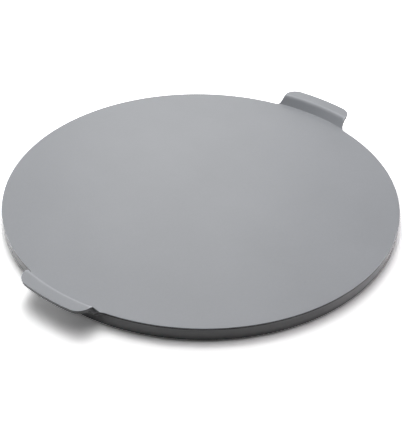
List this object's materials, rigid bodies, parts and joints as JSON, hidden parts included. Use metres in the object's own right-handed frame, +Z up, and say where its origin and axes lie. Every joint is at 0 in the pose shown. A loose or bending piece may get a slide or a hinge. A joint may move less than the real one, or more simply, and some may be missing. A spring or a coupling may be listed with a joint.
{
  "type": "pizza pan",
  "caption": "Round flat pizza pan with a low tapered rim wall and raised lifting handles on opposite sides, pressed as nested skins over a hidden corrugated spacer.",
  "frame": {"origin": "centre of the underside, on the plane that the pan stands on", "axes": "+Z up, out of the baking face; +X towards one handle, along the line through both; +Y across the handles"},
  "size_m": [0.42, 0.38, 0.027],
  "materials": {
    "coated_sheet": "satin grey coating on aluminium",
    "coated_shell": "satin grey coating on aluminium",
    "bare_aluminium": "bare rolled aluminium"
  },
  "bodies": {
    "root": {"baking_sheet": "coated_sheet", "base_shell": "coated_shell", "spacer": "bare_aluminium"}
  },
  "joints": []
}
